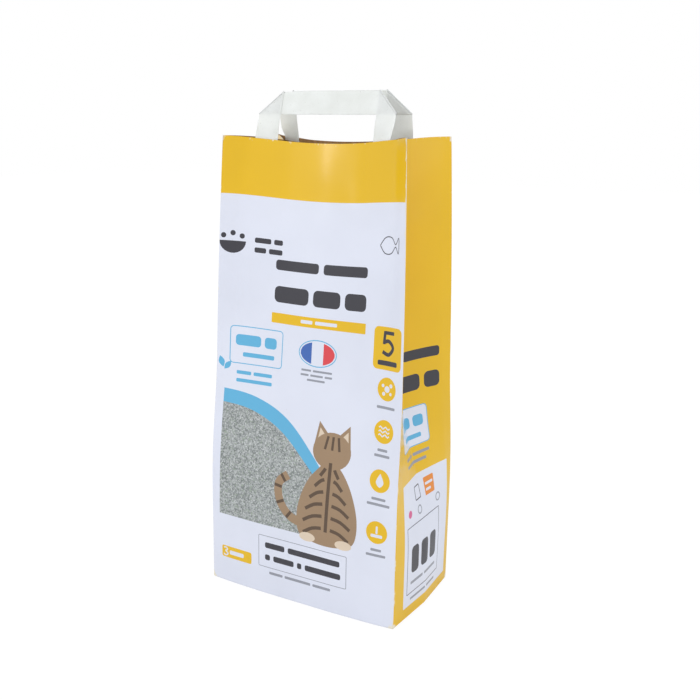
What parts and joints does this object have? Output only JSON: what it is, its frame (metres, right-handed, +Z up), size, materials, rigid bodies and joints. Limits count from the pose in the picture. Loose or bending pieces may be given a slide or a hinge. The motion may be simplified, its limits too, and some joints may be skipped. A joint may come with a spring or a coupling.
{
  "type": "cat litter bag",
  "caption": "Open-topped gusseted paper carrier bag with a folded block bottom and flat folded-paper handles, part filled with clay granules.",
  "frame": {"origin": "middle of the base, on the surface the bag stands on", "axes": "+Z up along the bag's height, the printed front panel faces -Y, +X to the right seen from the front"},
  "size_m": [0.219, 0.1281, 0.4934],
  "materials": {
    "printed_paper": "coated paper with printed fields of yellow and bluish white, satin",
    "white_paper": "uncoated white paper, folded in layers, matt",
    "kraft_paper": "brown kraft paper, matt",
    "clay_granules": "dry pale grey clay granules of 1 to 3 mm"
  },
  "bodies": {
    "root": {"bag_body": "printed_paper", "front_handle": "white_paper", "back_handle": "white_paper", "front_handle_patch": "kraft_paper", "back_handle_patch": "kraft_paper", "clay_litter": "clay_granules"}
  },
  "joints": []
}
